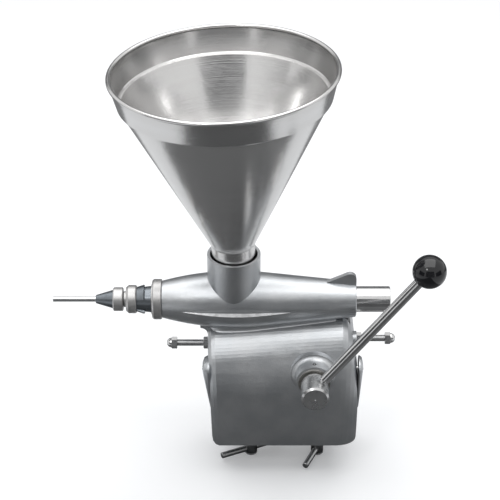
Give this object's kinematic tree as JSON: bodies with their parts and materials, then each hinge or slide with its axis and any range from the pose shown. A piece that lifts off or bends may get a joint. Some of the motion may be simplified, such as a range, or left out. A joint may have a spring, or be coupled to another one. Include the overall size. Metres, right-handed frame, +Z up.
{
  "type": "donut filler machine",
  "caption": "Table-clamped hand-lever filler: a conical hopper feeds a rack-driven piston that pushes cream or jam through a spring valve and needle nozzle.",
  "frame": {"origin": "on the upper jaw's seat face, which rests on the table, midway between the two clamp screws' axes", "axes": "+Z up, out of the table; +X along the barrel from the needle to the piston's open end; +Y away from the operator, so -Y is the front with the lever hub"},
  "size_m": [0.4706, 0.268, 0.5484],
  "materials": {
    "cast_aluminium": "fine-cast, tumbled satin",
    "plated_steel": "bright plated",
    "zinc_steel": "zinc plated satin",
    "machine_steel": "ground",
    "turned_stainless": "turned, bright satin",
    "polished_stainless": "polished",
    "spun_stainless": "spun and polished outside",
    "bronze": "machined",
    "seal_rubber": "matte",
    "black_plastic": "gloss black"
  },
  "bodies": {
    "body": {"body_casting": "cast_aluminium", "barrel_casting": "cast_aluminium", "rear_cover": "cast_aluminium", "cover_gasket": "seal_rubber", "cover_screws": "zinc_steel", "side_plugs": "plated_steel", "front_bush": "bronze", "rear_bush": "bronze", "lock_nuts": "plated_steel", "union_ring": "turned_stainless", "flange_gasket": "seal_rubber", "valve_body": "turned_stainless", "valve_spring": "machine_steel", "bayonet_ring": "turned_stainless", "nozzle_adapter": "turned_stainless", "nozzle_nut": "turned_stainless", "nozzle_cone": "turned_stainless", "nozzle_tube": "polished_stainless"},
    "lever": {"lever_shaft": "machine_steel", "sector_gear": "zinc_steel", "drive_key": "machine_steel", "thrust_washer": "machine_steel", "lever_hub": "plated_steel", "hub_pin": "zinc_steel", "lever_rod": "plated_steel", "ball_knob": "black_plastic"},
    "piston": {"piston": "plated_steel", "piston_seals": "seal_rubber"},
    "hopper": {"hopper_shell": "spun_stainless", "hopper_rim": "spun_stainless", "hopper_neck": "spun_stainless"},
    "valve": {"valve_ball": "plated_steel"},
    "stop_left": {"stop_screw_left": "zinc_steel", "cap_nut_left": "plated_steel"},
    "stop_right": {"stop_screw_right": "zinc_steel", "cap_nut_right": "plated_steel"},
    "pad_left": {"clamp_pad_left": "zinc_steel"},
    "pad_right": {"clamp_pad_right": "zinc_steel"},
    "spindle_left": {"clamp_screw_left": "zinc_steel", "tommy_bar_left": "zinc_steel"},
    "spindle_right": {"clamp_screw_right": "zinc_steel", "tommy_bar_right": "zinc_steel"}
  },
  "joints": [
    {"name": "lever_swing", "type": "hinge", "parent": "body", "child": "lever", "pos_m": [0.034, 0.008, 0.04075], "axis": [0, -1, 0], "range_deg": [0, 44]},
    {"name": "piston_slide", "type": "slide", "parent": "body", "child": "piston", "axis": [-1, 0, 0], "range_m": [0, 0.0471]},
    {"name": "hopper_lift", "type": "slide", "parent": "body", "child": "hopper", "axis": [-0.0419, 0, 0.9991], "range_m": [0, 0.06]},
    {"name": "valve_lift", "type": "slide", "parent": "body", "child": "valve", "axis": [-1, 0, 0], "range_m": [0, 0.0035], "stiffness_N_per_m": 300, "springref_m": -0.004, "deforming": ["valve_spring"]},
    {"name": "stop_left_travel", "type": "slide", "parent": "body", "child": "stop_left", "axis": [-1, 0, 0], "range_m": [0, 0.02]},
    {"name": "stop_right_travel", "type": "slide", "parent": "body", "child": "stop_right", "axis": [1, 0, 0], "range_m": [0, 0.02]},
    {"name": "clamp_left_travel", "type": "slide", "parent": "body", "child": "pad_left", "axis": [0, 0, 1], "range_m": [0, 0.03]},
    {"name": "clamp_left_turn", "type": "hinge", "parent": "pad_left", "child": "spindle_left", "pos_m": [-0.043, 0, -0.075], "axis": [0, 0, 1], "range_deg": [0, 5401]},
    {"name": "clamp_right_travel", "type": "slide", "parent": "body", "child": "pad_right", "axis": [0, 0, 1], "range_m": [0, 0.03]},
    {"name": "clamp_right_turn", "type": "hinge", "parent": "pad_right", "child": "spindle_right", "pos_m": [0.043, 0, -0.075], "axis": [0, 0, 1], "range_deg": [0, 5401]}
  ],
  "couplings": [
    {"joint": "piston_slide", "follows": "lever_swing", "m_per_rad": 0.06125},
    {"joint": "clamp_left_turn", "follows": "clamp_left_travel", "rad_per_m": 3141.6},
    {"joint": "clamp_right_turn", "follows": "clamp_right_travel", "rad_per_m": 3141.6}
  ]
}
